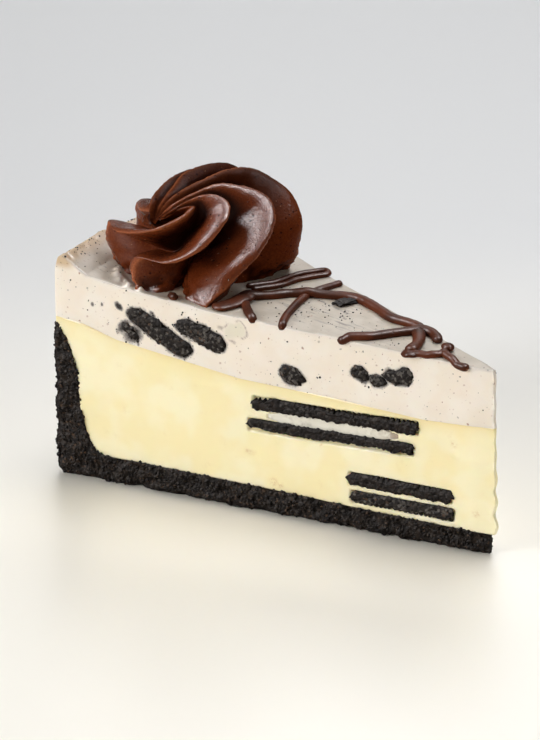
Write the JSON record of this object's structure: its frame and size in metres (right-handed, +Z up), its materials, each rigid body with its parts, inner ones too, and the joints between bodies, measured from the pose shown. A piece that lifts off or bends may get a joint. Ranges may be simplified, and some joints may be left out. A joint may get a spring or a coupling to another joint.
{
  "type": "cheesecake slice",
  "caption": "Slice of cookies and cream cheesecake: dark crumb crust, pale baked filling with sandwich cookies in it, speckled mousse, chocolate drizzle and a piped chocolate swirl.",
  "frame": {"origin": "on the flat underside of the crust, halfway between the tip and the crust wall, midway between the cut faces", "axes": "+X from the crust wall to the tip, +Y to the far cut face, +Z up from the crust's underside"},
  "size_m": [0.1147, 0.0612, 0.0749],
  "materials": {
    "crumb_crust": "rough crumb",
    "baked_filling": "smooth and moist",
    "speckled_mousse": "smooth with fine dark specks",
    "chocolate_wafer": "dry and crumbly",
    "wafer_cream": "matt",
    "chocolate_frosting": "soft gloss"
  },
  "bodies": {
    "root": {"crust": "crumb_crust", "filling": "baked_filling", "mousse": "speckled_mousse", "frosting_swirl": "chocolate_frosting", "middle_cookie_cream": "wafer_cream", "far_cookie_cream": "wafer_cream", "middle_cookie_upper_wafer": "chocolate_wafer", "middle_cookie_lower_wafer": "chocolate_wafer", "low_cookie_upper_wafer": "chocolate_wafer", "low_cookie_lower_wafer": "chocolate_wafer", "far_cookie_upper_wafer": "chocolate_wafer", "far_cookie_lower_wafer": "chocolate_wafer", "long_piece": "chocolate_wafer", "short_piece": "chocolate_wafer", "round_piece": "chocolate_wafer", "left_bit": "chocolate_wafer", "middle_bit": "chocolate_wafer", "right_bit": "chocolate_wafer", "smeared_piece": "chocolate_wafer", "far_long_piece": "chocolate_wafer", "far_round_piece": "chocolate_wafer", "top_piece": "chocolate_wafer"}
  },
  "joints": []
}
